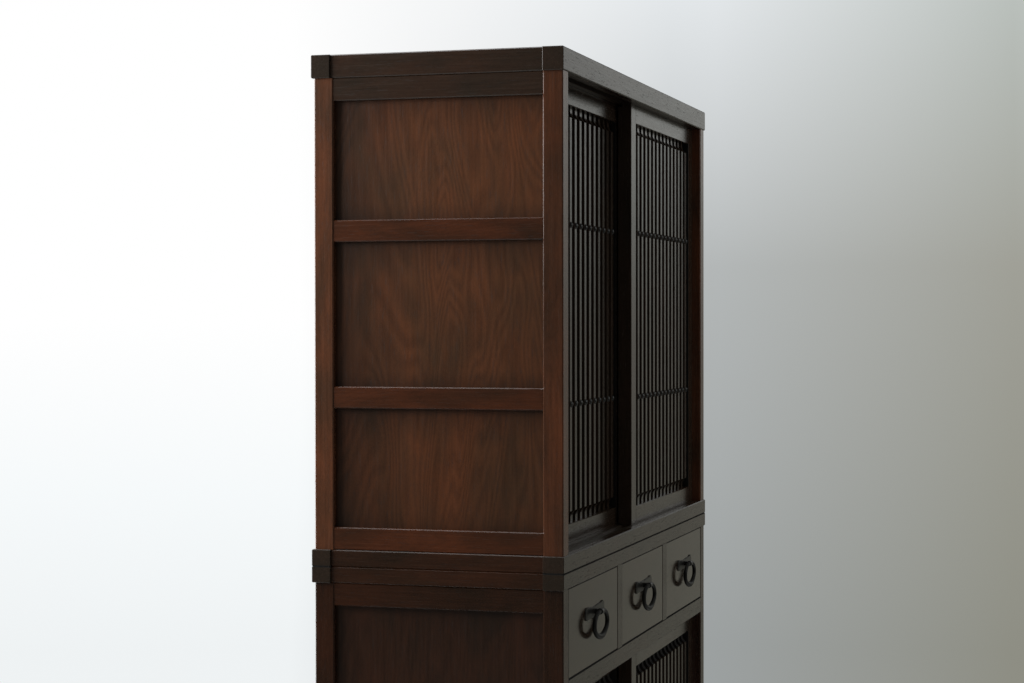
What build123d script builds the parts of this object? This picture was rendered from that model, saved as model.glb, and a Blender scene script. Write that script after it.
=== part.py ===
"""A two-piece stacking kitchen cabinet with sliding lattice doors and three drawers.

The upper chest stands on the lower one. Each chest is a frame of posts and rails between a base
rim and a top rim, with thin panels in grooves. X runs to the right along the front, Y to the
back and Z up. The origin is on the floor, midway between the back of the rims and the front of the
pulls. Lengths are millimetres.
"""

import os
from collections import namedtuple
from math import acos, asin, cos, degrees, sin, sqrt

from build123d import *

# Whole cabinet
width = 1152.0  # over the rims
depth = 434.0  # over the rims
lower_height = 909.0
upper_height = 848.0

# Clearances
joint_gap = 0.1  # round tenons, tongues and at glued shoulders
slide_gap = 0.3  # between a sliding piece and what it runs on
front_gap = 0.8  # round a drawer front

# Rims: beams run through at the front and rear, side rims lie between them
base_rim_height = 28.0
lower_top_rim_height = 27.0
upper_top_rim_height = 38.5
front_beam = 35.5
rear_beam = 33.0
side_rim = 34.0
side_rim_inset = 4.0
rim_edge = 1.6
rim_tenon_length = 16.0
rim_tenon_height = 10.0
rim_tenon_width = 16.0

# Posts
post = 34.0
post_inset_side = 4.0
post_inset_front = 2.0
post_inset_rear = 4.0
post_edge = 2.0
post_tenon = 16.0
post_tenon_length = 8.0

# Rails and panels of the side and back walls
bottom_rail_height = 37.5
middle_rail_height = 36.0
top_rail_height = 38.0
lower_middle_panel = 236.0  # open height of the panel between the middle rails
upper_middle_panel = 239.5
rail_thickness = 22.0
rail_recess = 1.5  # behind the posts' outer faces
rail_edge = 1.6
rail_tenon_length = 14.0
rail_tenon_thickness = 8.0
rail_tenon_shoulder = 8.0
panel_recess = 9.0  # behind the rails' outer faces
panel_thickness = 6.0
panel_tongue = 5.0

# Boards
roof_thickness = 12.0
roof_recess = 3.0  # below the rim's top
floor_thickness = 8.0
floor_recess = 4.0  # below the base rim's top
board_tongue = 6.0
shelf_thickness = 14.0
shelf_front = 92.0  # from the cabinet's front
bearer_height = 20.0
bearer_width = 12.0

# Door tracks
track_front = 12.0  # from the cabinet's front
track_depth = 70.0
sill_thickness = 16.0
head_thickness = 19.0
sill_groove = 4.0
head_groove = 14.0
groove_clearance = 0.5  # each side of a door's tongue

# Doors
stile = 37.3
door_thickness = 25.0
front_door_setback = 20.0  # behind the rim's front
track_pitch = 29.0
door_bottom_rail = 32.0  # sill to window
door_top_rail = 34.0  # window to head
door_foot_gap = 1.5  # rear shoulder above the sill
door_head_gap = 5.0  # rear shoulder below the head
door_tongue_thickness = 17.0  # flush with the door's front
head_tongue = 8.0
door_tenon_length = 24.0
door_tenon_thickness = 8.0
door_tenon_shoulder = 8.0
door_edge = 1.0

# Lattice
slat_count = 14
slat_width = 14.0
slat_depth = 14.0
slat_setback = 1.0  # behind the door's front
slat_edge = 0.8
cove_depth = 8.2  # from the slat's front back to its neck
cove_radius = 14.4
neck_length = 7.5  # between cove and rail
neck_seat = 6.0  # the neck enters the rail this far
tie_height = 9.5
tie_depth = 4.5
tie_tenon = 6.0
upper_tie_spread = 307.2  # between the two ties' middles
lower_tie_spread = 260.0
backing_thickness = 4.0
backing_gap = 1.0  # behind the slats
backing_tongue = 5.0

# Drawers
drawer_opening = 148.0
drawer_rail_height = 32.0
drawer_rail_tenon_width = 16.0
divider = 34.0
divider_depth = 34.0
divider_tenon = 14.0
divider_tenon_length = 10.0
deck_thickness = 13.0
guide_height = 40.0
stop_width = 30.0
stop_height = 16.0
drawer_front_thickness = 20.0
drawer_front_recess = 0.5  # behind the posts' front faces
drawer_front_edge = 1.0
drawer_side = 11.0
drawer_side_drop = 14.0  # side's top below the front's top
drawer_lap = 12.0  # side let into the front
drawer_back_gap = 14.0  # behind the drawer box
drawer_bottom_thickness = 6.0
drawer_bottom_rise = 8.0  # bottom's underside above the deck
drawer_bottom_tongue = 5.0

# Pulls
pivot_rise = 16.0  # above the middle of the drawer front
bail_half_width = 44.0  # pivot bar's middle to the rod's middle at the side
bail_drop = 42.5  # pivot bar's middle to the rod's middle at the bottom
bail_side_drop = 20.5  # pivot bar's middle to the widest place
bail_side_radius = 13.0
bail_rod = 7.4
bail_grip = 10.4  # the rod swells to this at the bottom
bail_bar = 24.0  # straight part in and beside the knuckle
bail_standoff = 12.1  # rod's middle to the drawer front
bail_bore_clearance = 0.08
plate_thickness = 2.0
plate_half_width = 64.0
plate_dip = 7.5  # plate's top edge at the middle, above the pivot
plate_foot = 9.5  # plate's lower edge, below the pivot
wing_tip = (55.0, 11.5)
knuckle_width = 11.0
knuckle_wall = 1.4
shank_diameter = 5.0
rove_diameter = 14.0
rove_thickness = 2.0

# Places that follow from them
knuckle_radius = bail_rod / 2 + bail_bore_clearance + knuckle_wall
pull_reach = bail_standoff + max(knuckle_radius, bail_grip / 2)
pull_overhang = pull_reach - post_inset_front - drawer_front_recess  # in front of the rims
front_y = -(depth - pull_overhang) / 2
rear_y = front_y + depth
post_front_y = front_y + post_inset_front
post_x = width / 2 - post_inset_side - post / 2
front_post_y = post_front_y + post / 2
rear_post_y = rear_y - post_inset_rear - post / 2
opening_half = post_x - post / 2
side_rim_x = width / 2 - side_rim_inset - side_rim / 2
front_beam_rear_y = front_y + front_beam
rear_beam_front_y = rear_y - rear_beam
rail_inner_x = width / 2 - post_inset_side - rail_recess - rail_thickness
rail_inner_y = rear_y - post_inset_rear - rail_recess - rail_thickness
track_front_y = front_y + track_front
track_rear_y = track_front_y + track_depth

Chest = namedtuple("Chest", "name base sill head top rails")
Wall = namedtuple("Wall", "plane length")
Door = namedtuple("Door", "name x y sill head ties")


def wall_rails(sill, head, middle_panel):
    """Heights (low, high) of the four rails between sill and head, with the middle panel centred."""
    first_top = sill + bottom_rail_height
    last_low = head - top_rail_height
    middle = (first_top + last_low) / 2
    low_top = middle - middle_panel / 2
    high_low = middle + middle_panel / 2
    return [
        (sill, first_top),
        (low_top - middle_rail_height, low_top),
        (high_low, high_low + middle_rail_height),
        (last_low, head),
    ]


def make_chest(name, base, height, top_rim, middle_panel):
    sill = base + base_rim_height
    head = base + height - top_rim
    return Chest(name, base, sill, head, base + height, wall_rails(sill, head, middle_panel))


lower = make_chest("lower", 0.0, lower_height, lower_top_rim_height, lower_middle_panel)
upper = make_chest("upper", lower_height, upper_height, upper_top_rim_height, upper_middle_panel)

drawer_rail_top = lower.head - drawer_opening
drawer_rail_low = drawer_rail_top - drawer_rail_height
drawer_pitch = (2 * opening_half + divider) / 3
drawer_xs = [-drawer_pitch, 0.0, drawer_pitch]
divider_xs = [-drawer_pitch / 2, drawer_pitch / 2]
drawer_clear_width = drawer_pitch - divider

side_wall_length = (rear_post_y - post / 2) - (front_post_y + post / 2)
side_wall_y = (rear_post_y + front_post_y) / 2
left_wall = Wall(
    Plane(origin=(-post_x - post / 2, side_wall_y, 0), x_dir=(0, -1, 0), z_dir=(-1, 0, 0)), side_wall_length
)
right_wall = Wall(
    Plane(origin=(post_x + post / 2, side_wall_y, 0), x_dir=(0, 1, 0), z_dir=(1, 0, 0)), side_wall_length
)
back_wall = Wall(
    Plane(origin=(0, rear_post_y + post / 2, 0), x_dir=(-1, 0, 0), z_dir=(0, 1, 0)), 2 * opening_half
)
walls = [left_wall, right_wall, back_wall]


def save(part, name):
    """Labels a finished piece and writes it as parts/name.step."""
    part.label = name
    export_step(part, f"parts/{name}.step")


def block(x, y, z, mode=Mode.ADD):
    """A block between pairs of faces: x, y and z are each (low, high)."""
    with Locations(((x[0] + x[1]) / 2, (y[0] + y[1]) / 2, (z[0] + z[1]) / 2)):
        Box(x[1] - x[0], y[1] - y[0], z[1] - z[0], mode=mode)


def grown(pair, gap=joint_gap):
    """The pair of faces moved apart by the gap at each end."""
    return (pair[0] - gap, pair[1] + gap)


def middle_band(pair, size):
    """A band of that size in the middle of a pair of faces."""
    middle = (pair[0] + pair[1]) / 2
    return middle - size / 2, middle + size / 2


# Wall joinery, drawn on the wall's own plane: rails, their tenons and the panels' tongues


def tenon_slots(chest, wall, gap, mode):
    """The rails' tenons at both ends, as one bar through each rail."""
    depth_in = rail_recess + (rail_thickness - rail_tenon_thickness) / 2 - gap
    with BuildSketch(wall.plane.offset(-depth_in)) as slots:
        for low, high in chest.rails:
            with Locations((0, (low + high) / 2)):
                Rectangle(
                    wall.length + 2 * (rail_tenon_length + gap), high - low - 2 * (rail_tenon_shoulder - gap)
                )
    extrude(slots.sketch, amount=-(rail_tenon_thickness + 2 * gap), mode=mode)


def panel_slots(chest, wall, gap, mode):
    """The panels between the rails, with the tongues that enter rails and posts."""
    with BuildSketch(wall.plane.offset(-(rail_recess + panel_recess - gap))) as slots:
        for under, over in zip(chest.rails, chest.rails[1:]):
            with Locations((0, (under[1] + over[0]) / 2)):
                Rectangle(
                    wall.length + 2 * (panel_tongue + gap), over[0] - under[1] + 2 * (panel_tongue + gap)
                )
    extrude(slots.sketch, amount=-(panel_thickness + 2 * gap), mode=mode)


def make_rails(chest, walls_of_node, name):
    with BuildPart() as rails:
        for wall in walls_of_node:
            outward = Axis((0, 0, 0), wall.plane.z_dir)
            along = Axis((0, 0, 0), wall.plane.x_dir)
            with BuildSketch(wall.plane.offset(-rail_recess)):
                for low, high in chest.rails:
                    with Locations((0, (low + high) / 2)):
                        Rectangle(wall.length - 2 * joint_gap, high - low - 2 * joint_gap)
            extrude(amount=-rail_thickness)
            outer_faces = rails.faces().filter_by(outward).group_by(outward)[-1]
            chamfer(outer_faces.edges().filter_by(along), rail_edge)
            tenon_slots(chest, wall, 0, Mode.ADD)
            panel_slots(chest, wall, joint_gap, Mode.SUBTRACT)
    save(rails.part, name)


def make_panels(chest, walls_of_node, name):
    with BuildPart() as panels:
        for wall in walls_of_node:
            panel_slots(chest, wall, 0, Mode.ADD)
    save(panels.part, name)


def post_centres():
    return [(x, y) for x in (-post_x, post_x) for y in (front_post_y, rear_post_y)]


def post_tenon_centres():
    """Each post's tenon stands in the middle of what the post covers of its beam."""
    front = (post_front_y + front_beam_rear_y) / 2
    rear = (rear_beam_front_y + rear_post_y + post / 2) / 2
    return [(x, y) for x in (-post_x, post_x) for y in (front, rear)]


def drawer_rail_tenon(gap, mode):
    """The tenons of the rail under the drawers, as one bar."""
    block(
        (-opening_half - rail_tenon_length - gap, opening_half + rail_tenon_length + gap),
        grown(middle_band((post_front_y, post_front_y + post), drawer_rail_tenon_width), gap),
        grown((drawer_rail_low + head_thickness + 1, drawer_rail_top - 2), gap),
        mode,
    )


def make_posts(chest):
    with BuildPart() as posts:
        with BuildSketch(Plane.XY.offset(chest.sill + joint_gap)):
            with Locations(*post_centres()):
                Rectangle(post, post)
        extrude(amount=chest.head - chest.sill - 2 * joint_gap)
        chamfer(posts.edges().filter_by(Axis.Z), post_edge)
        with BuildSketch(Plane.XY.offset(chest.sill - post_tenon_length)):
            with Locations(*post_tenon_centres()):
                Rectangle(post_tenon, post_tenon)
        extrude(amount=chest.head - chest.sill + 2 * post_tenon_length)
        for wall in walls:
            tenon_slots(chest, wall, joint_gap, Mode.SUBTRACT)
            panel_slots(chest, wall, joint_gap, Mode.SUBTRACT)
        if chest is lower:
            drawer_rail_tenon(joint_gap, Mode.SUBTRACT)
            bearer_tenons(joint_gap, Mode.SUBTRACT)
    save(posts.part, f"{chest.name}_posts")


# Rims


def rim_tenons(low, high, gap, mode):
    """Tenons of both side rims, each as one bar reaching into the front and rear beams."""
    middle = (low + high) / 2
    for side in (-1, 1):
        block(
            grown((side * side_rim_x - rim_tenon_width / 2, side * side_rim_x + rim_tenon_width / 2), gap),
            (front_beam_rear_y - rim_tenon_length - gap, rear_beam_front_y + rim_tenon_length + gap),
            grown((middle - rim_tenon_height / 2, middle + rim_tenon_height / 2), gap),
            mode,
        )


def board_tongues(low, high, y, gap, mode):
    """A board held in grooves all round: low and high are its faces, y its (front, rear) edges."""
    inner_x = side_rim_x - side_rim / 2
    block(
        (-inner_x - board_tongue - gap, inner_x + board_tongue + gap),
        grown(y, gap),
        grown((low, high), gap),
        mode,
    )


def floor_faces(chest):
    return chest.sill - floor_recess - floor_thickness, chest.sill - floor_recess


def roof_faces(chest):
    return chest.top - roof_recess - roof_thickness, chest.top - roof_recess


floor_y = (track_rear_y - board_tongue, rear_beam_front_y + board_tongue)
roof_y = (front_beam_rear_y - board_tongue, rear_beam_front_y + board_tongue)


def make_rim(chest, low, high, name, board, board_y, track):
    """Front and rear beams with side rims between. track is the (low, high) of a let-in door track."""
    with BuildPart() as rim:
        with BuildSketch(Plane.YZ.offset(-width / 2)):
            for y in ((front_y, front_beam_rear_y), (rear_beam_front_y, rear_y)):
                with Locations(((y[0] + y[1]) / 2, (low + high) / 2)):
                    Rectangle(y[1] - y[0], high - low)
        extrude(amount=width)
        beams = rim.edges().filter_by(Axis.X)
        chamfer(beams.group_by(Axis.Y)[0] + beams.group_by(Axis.Y)[-1], rim_edge)
        end_faces = rim.faces().filter_by(Axis.X).group_by(Axis.X)
        chamfer((end_faces[0] + end_faces[-1]).edges(), rim_edge / 2)
        rim_tenons(low, high, joint_gap, Mode.SUBTRACT)
        for side in (-1, 1):
            side_faces = (side * side_rim_x - side_rim / 2, side * side_rim_x + side_rim / 2)
            shoulders = grown((front_beam_rear_y, rear_beam_front_y), -joint_gap)
            block(side_faces, shoulders, (low, high))
        outer = side_rim_x + side_rim / 2
        side_edges = [e for e in rim.edges().filter_by(Axis.Y) if abs(abs(e.center().X) - outer) < 0.01]
        chamfer(side_edges, rim_edge)
        rim_tenons(low, high, 0, Mode.ADD)
        board_tongues(*board, board_y, joint_gap, Mode.SUBTRACT)
        with BuildSketch(Plane.XY.offset(low if chest.head == low else high)):
            with Locations(*post_tenon_centres()):
                Rectangle(post_tenon + 2 * joint_gap, post_tenon + 2 * joint_gap)
        reach = post_tenon_length + joint_gap
        extrude(amount=reach if chest.head == low else -reach, mode=Mode.SUBTRACT)
        if track:
            block(
                (-opening_half - joint_gap, opening_half + joint_gap),
                (track_front_y - joint_gap, front_beam_rear_y + 1),
                track,
                Mode.SUBTRACT,
            )
        if chest is lower and low == chest.head:
            divider_tenons(joint_gap, Mode.SUBTRACT)
    save(rim.part, name)


# Door tracks


def door_y(track):
    """Front face of a door in the front track (0) or the rear track (1)."""
    return front_y + front_door_setback + track * track_pitch


def tongue_y(track):
    """Faces of a door's tongue, flush with the door's front."""
    return door_y(track), door_y(track) + door_tongue_thickness


def make_track(name, faces, groove, board):
    """A board with two grooves, each (low, high), and a rebate for the board behind it if there is one."""
    with BuildPart() as track_board:
        with BuildSketch(Plane.YZ.offset(-opening_half)):
            with Locations(((track_front_y + track_rear_y) / 2, (faces[0] + faces[1]) / 2)):
                Rectangle(track_depth, faces[1] - faces[0])
            for track in (0, 1):
                y = grown(tongue_y(track), groove_clearance)
                with Locations(((y[0] + y[1]) / 2, (groove[0] + groove[1]) / 2)):
                    Rectangle(y[1] - y[0], groove[1] - groove[0], mode=Mode.SUBTRACT)
        extrude(amount=2 * opening_half)
        if board:
            board_tongues(*board, floor_y, joint_gap, Mode.SUBTRACT)
    save(track_board.part, name)


def make_jambs(name, low, high):
    """Strips behind the front posts that close the gap beside the doors."""
    y = (front_post_y + post / 2 + joint_gap, track_rear_y)
    with BuildPart() as jambs:
        for side in (-1, 1):
            x = sorted((side * opening_half, side * (rail_inner_x - joint_gap)))
            block(x, y, grown((low, high), -joint_gap))
    save(jambs.part, name)


# Boards and shelves


def make_board(name, faces, y):
    with BuildPart() as board:
        board_tongues(*faces, y, 0, Mode.ADD)
    save(board.part, name)


def make_shelves(name, tops):
    y = (front_y + shelf_front, rear_post_y - post / 2 - joint_gap)
    half = rail_inner_x - joint_gap
    with BuildPart() as shelves:
        for top in tops:
            block((-half, half), y, (top - shelf_thickness, top))
    save(shelves.part, name)


def make_bearers(name, tops):
    """Bars on the side rails, one under each end of a shelf."""
    y = (front_y + shelf_front, rear_post_y - post / 2 - joint_gap)
    half = rail_inner_x - joint_gap
    with BuildPart() as bearers:
        for top in tops:
            bearer_top = top - shelf_thickness - joint_gap
            for side in (-1, 1):
                x = sorted((side * half, side * (half - bearer_width)))
                block(x, y, (bearer_top - bearer_height, bearer_top))
    save(bearers.part, name)


# Doors

door_width = opening_half + (stile - slide_gap) / 2
door_x = opening_half - slide_gap - door_width / 2


def window_faces(door):
    return door.sill + door_bottom_rail, door.head - door_top_rail


def slat_xs(door):
    """Middles of the slats, with equal gaps between them and beside the stiles."""
    window = door_width - 2 * stile
    gap = (window - slat_count * slat_width) / (slat_count + 1)
    first = door.x - window / 2 + gap + slat_width / 2
    return [first + i * (slat_width + gap) for i in range(slat_count)]


def slat_y(door):
    return door.y + slat_setback, door.y + slat_setback + slat_depth


def backing_y(door):
    front = door.y + slat_setback + slat_depth + backing_gap
    return front, front + backing_thickness


def neck_y(door):
    """Faces of the thin neck that the coves leave at a slat's ends."""
    front, rear = slat_y(door)
    return front + cove_depth, rear


def neck_seats(door):
    """Cuts the mortises for the necks in the door's rails."""
    low, high = window_faces(door)
    for x in slat_xs(door):
        sides = grown((x - slat_width / 2, x + slat_width / 2))
        block(sides, grown(neck_y(door)), (low - neck_seat - joint_gap, low + 1), Mode.SUBTRACT)
        block(sides, grown(neck_y(door)), (high - 1, high + neck_seat + joint_gap), Mode.SUBTRACT)


def ties(door, gap, mode):
    """Flat bars that pass through the slats and enter the stiles."""
    half = door_width / 2 - stile + tie_tenon + gap
    y = grown(middle_band(slat_y(door), tie_depth), gap)
    for z in door.ties:
        block((door.x - half, door.x + half), y, grown((z - tie_height / 2, z + tie_height / 2), gap), mode)


def backing(door, gap, mode):
    low, high = window_faces(door)
    half = door_width / 2 - stile + backing_tongue + gap
    z = (low - backing_tongue - gap, high + backing_tongue + gap)
    block((door.x - half, door.x + half), grown(backing_y(door), gap), z, mode)


def rail_tenons(door, gap, mode):
    """Tenons of the top and bottom rail in the stiles, as bars right through."""
    low, high = window_faces(door)
    half = door_width / 2 - stile + door_tenon_length + gap
    y = grown(middle_band((door.y, door.y + door_thickness), door_tenon_thickness), gap)
    foot = (door.sill + door_foot_gap + door_tenon_shoulder, low - door_tenon_shoulder)
    crown = (high + door_tenon_shoulder, door.head - door_head_gap - door_tenon_shoulder)
    for z in (foot, crown):
        block((door.x - half, door.x + half), y, grown(z, gap), mode)


def door_bars(door, xs, z, tongue_z):
    """Full-thickness bars with the tongue's thinner ends above and below: xs are (low, high) faces."""
    for x in xs:
        block(x, (door.y, door.y + door_thickness), z)
        block(x, (door.y, door.y + door_tongue_thickness), tongue_z)


def make_door_frame(door):
    low, high = window_faces(door)
    foot = door.sill + door_foot_gap
    crown = door.head - door_head_gap
    foot_end = door.sill - sill_groove + slide_gap
    crown_end = door.head + head_tongue
    outer = door_width / 2
    inner = outer - stile
    stiles_x = [(door.x - outer, door.x - inner), (door.x + inner, door.x + outer)]
    rails_x = [grown((door.x - inner, door.x + inner), -joint_gap)]
    with BuildPart() as frame:
        door_bars(door, stiles_x, (foot, crown), (foot_end, crown_end))
        chamfer(frame.edges().filter_by(Axis.Z).group_by(Axis.Y)[0], door_edge)
        rail_tenons(door, joint_gap, Mode.SUBTRACT)
        door_bars(door, rails_x, (foot, low), (foot_end, low))
        door_bars(door, rails_x, (high, crown), (high, crown_end))
        window_edges = frame.edges().filter_by(Axis.X).group_by(Axis.Y)[0].group_by(Axis.Z)[1:-1]
        chamfer([edge for group in window_edges for edge in group], door_edge)
        rail_tenons(door, 0, Mode.ADD)
        neck_seats(door)
        ties(door, joint_gap, Mode.SUBTRACT)
        backing(door, joint_gap, Mode.SUBTRACT)
    save(frame.part, f"{door.name}_frame")


def make_slat(door):
    """A slat at X = 0, drawn from the side: its front is coved back to a neck at both ends."""
    low, high = window_faces(door)
    front, rear = slat_y(door)
    neck = front + cove_depth
    turn = degrees(acos(1 - cove_depth / cove_radius))
    rise = sqrt(cove_radius**2 - (cove_radius - cove_depth) ** 2)
    crown = high + neck_seat
    foot = low - neck_seat
    high_cove = high - neck_length
    low_cove = low + neck_length
    with BuildPart() as slat:
        with BuildSketch(Plane.YZ.offset(-slat_width / 2)):
            with BuildLine():
                JernArc((neck, high_cove), (0, -1), cove_radius, -turn)
                Line((front, high_cove - rise), (front, low_cove + rise))
                JernArc((neck, low_cove), (0, 1), cove_radius, turn)
                Polyline((neck, low_cove), (neck, foot), (rear, foot))
                Polyline((rear, foot), (rear, crown), (neck, crown), (neck, high_cove))
            make_face()
        extrude(amount=slat_width)
        chamfer(slat.edges().filter_by(Axis.Z).group_by(Axis.Y)[0], slat_edge)
    return slat.part


def make_lattice(door):
    slat = make_slat(door)
    with BuildPart() as lattice:
        with Locations(*[(x, 0, 0) for x in slat_xs(door)]):
            add(slat)
        ties(door, joint_gap, Mode.SUBTRACT)
        ties(door, 0, Mode.ADD)
    save(lattice.part, f"{door.name}_lattice")


def make_backing(door):
    with BuildPart() as board:
        backing(door, 0, Mode.ADD)
    save(board.part, f"{door.name}_panel")


# Drawers


def divider_tenons(gap, mode):
    for x in divider_xs:
        block(
            grown((x - divider_tenon / 2, x + divider_tenon / 2), gap),
            grown((front_post_y - divider_tenon / 2, front_post_y + divider_tenon / 2), gap),
            (drawer_rail_top - divider_tenon_length - gap, lower.head + divider_tenon_length + gap),
            mode,
        )


def make_dividers():
    with BuildPart() as dividers:
        with BuildSketch(Plane.XY.offset(drawer_rail_top + joint_gap)):
            with Locations(*[(x, post_front_y + divider_depth / 2) for x in divider_xs]):
                Rectangle(divider, divider_depth)
        extrude(amount=drawer_opening - 2 * joint_gap)
        chamfer(dividers.edges().filter_by(Axis.Z).group_by(Axis.Y)[0], post_edge / 2)
        divider_tenons(0, Mode.ADD)
    save(dividers.part, "drawer_dividers")


def deck(gap, mode):
    """Board that the drawers run on, let into the drawer rail and reaching over the rear bearer."""
    z = grown((drawer_rail_top - deck_thickness, drawer_rail_top), gap)
    between_posts = opening_half - joint_gap + gap
    half = rail_inner_x - joint_gap + gap
    front_bound = front_post_y + post / 2
    rear_bound = rear_post_y - post / 2
    y = grown((front_bound - board_tongue, rail_inner_y - joint_gap), gap)
    block((-between_posts, between_posts), y, z, mode)
    block((-half, half), grown((front_bound + joint_gap, rear_bound - joint_gap), gap), z, mode)


def make_drawer_rail():
    with BuildPart() as rail:
        block(grown((-opening_half, opening_half), -joint_gap), (post_front_y, post_front_y + post),
              (drawer_rail_low, drawer_rail_top))
        chamfer(rail.edges().filter_by(Axis.X).group_by(Axis.Y)[0], rail_edge)
        drawer_rail_tenon(0, Mode.ADD)
        block(
            (-opening_half - 1, opening_half + 1),
            (track_front_y - joint_gap, post_front_y + post + 1),
            (drawer_rail_low - 1, drawer_rail_low + head_thickness + joint_gap),
            Mode.SUBTRACT,
        )
        divider_tenons(joint_gap, Mode.SUBTRACT)
        deck(joint_gap, Mode.SUBTRACT)
    save(rail.part, "drawer_rail")


def bearer_tenons(gap, mode):
    """Tenons of the deck's bearers: two along the sides, one across the back."""
    deck_low = drawer_rail_top - deck_thickness
    z = grown((deck_low - bearer_height + 3, deck_low - bearer_height + 9), gap)
    x_middle = (opening_half + rail_inner_x) / 2
    y_ends = (front_post_y + post / 2 - divider_tenon_length, rear_post_y - post / 2 + divider_tenon_length)
    for side in (-1, 1):
        block(grown((side * x_middle - 2.5, side * x_middle + 2.5), gap), grown(y_ends, gap), z, mode)
    z = grown((deck_low - 9, deck_low - 3), gap)
    rear_middle = (rear_post_y - post / 2 + rail_inner_y) / 2
    end = opening_half + divider_tenon_length
    block(grown((-end, end), gap), grown((rear_middle - 2.5, rear_middle + 2.5), gap), z, mode)


def make_deck_bearers():
    deck_low = drawer_rail_top - deck_thickness
    z = (deck_low - bearer_height, deck_low)
    side_y = grown((front_post_y + post / 2, rear_post_y - post / 2), -joint_gap)
    with BuildPart() as bearers:
        for side in (-1, 1):
            block(sorted((side * opening_half, side * (rail_inner_x - joint_gap))), side_y, z)
        rear_y_faces = grown((rear_post_y - post / 2, rail_inner_y), -joint_gap)
        block(grown((-opening_half, opening_half), -joint_gap), rear_y_faces, z)
        bearer_tenons(0, Mode.ADD)
    save(bearers.part, "deck_bearers")


drawer_front_y = post_front_y + drawer_front_recess
drawer_back_y = rear_post_y - post / 2 - drawer_back_gap
drawer_half = drawer_clear_width / 2 - front_gap
drawer_front_low = drawer_rail_top + front_gap
drawer_front_high = lower.head - front_gap
pivot_z = (drawer_front_low + drawer_front_high) / 2 + pivot_rise
drawer_bottom_low = drawer_rail_top + slide_gap + drawer_bottom_rise


def make_guides():
    """Guides behind the dividers and posts, and a stop behind each drawer."""
    y = (front_post_y + post / 2 + joint_gap, rear_post_y - post / 2 - joint_gap)
    z = (drawer_rail_top, drawer_rail_top + guide_height)
    with BuildPart() as guides:
        for x in divider_xs:
            block((x - divider / 2, x + divider / 2), y, z)
        for side in (-1, 1):
            block(sorted((side * opening_half, side * (rail_inner_x - joint_gap))), y, z)
        for x in drawer_xs:
            stop_x = (x - stop_width / 2, x + stop_width / 2)
            block(stop_x, (drawer_back_y + slide_gap, y[1]), (z[0], z[0] + stop_height))
    save(guides.part, "drawer_guides")


def drawer_bottom(x, gap, mode):
    half = drawer_half - drawer_side + drawer_bottom_tongue
    y = (drawer_front_y + drawer_front_thickness - drawer_bottom_tongue,
         drawer_back_y - drawer_side + drawer_bottom_tongue)
    z = (drawer_bottom_low, drawer_bottom_low + drawer_bottom_thickness)
    block(grown((x - half, x + half), gap), grown(y, gap), grown(z, gap), mode)


def drawer_sides(x, gap, mode):
    y = (drawer_front_y + drawer_front_thickness - drawer_lap - gap, drawer_back_y)
    z = (drawer_rail_top + slide_gap - gap, drawer_front_high - drawer_side_drop + gap)
    for side in (-1, 1):
        outer = x + side * (drawer_half + gap)
        block(sorted((outer, x + side * (drawer_half - drawer_side - gap))), y, z, mode)


def make_drawer(side_name, x):
    with BuildPart() as front:
        block((x - drawer_half, x + drawer_half), (drawer_front_y, drawer_front_y + drawer_front_thickness),
              (drawer_front_low, drawer_front_high))
        chamfer(front.faces().filter_by(Axis.Y).sort_by(Axis.Y)[0].edges(), drawer_front_edge)
        drawer_sides(x, joint_gap, Mode.SUBTRACT)
        drawer_bottom(x, joint_gap, Mode.SUBTRACT)
        with BuildSketch(Plane.XZ.offset(-drawer_front_y)):
            with Locations((x, pivot_z)):
                Circle(shank_diameter / 2 + joint_gap)
        extrude(amount=-drawer_front_thickness, mode=Mode.SUBTRACT)
    save(front.part, f"{side_name}_drawer_front")

    back_half = drawer_half - drawer_side + drawer_bottom_tongue
    back_y = (drawer_back_y - drawer_side, drawer_back_y)
    back_z = (drawer_bottom_low - 4, drawer_front_high - drawer_side_drop - 4)
    with BuildPart() as box:
        drawer_sides(x, 0, Mode.ADD)
        housing_y = (back_y[0] - joint_gap, back_y[1] + 1)
        housing_x = grown((x - back_half, x + back_half))
        block(housing_x, housing_y, grown(back_z), Mode.SUBTRACT)
        block((x - back_half, x + back_half), back_y, back_z)
        drawer_bottom(x, joint_gap, Mode.SUBTRACT)
    save(box.part, f"{side_name}_drawer_box")

    with BuildPart() as bottom:
        drawer_bottom(x, 0, Mode.ADD)
    save(bottom.part, f"{side_name}_drawer_bottom")


# Pulls


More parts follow.
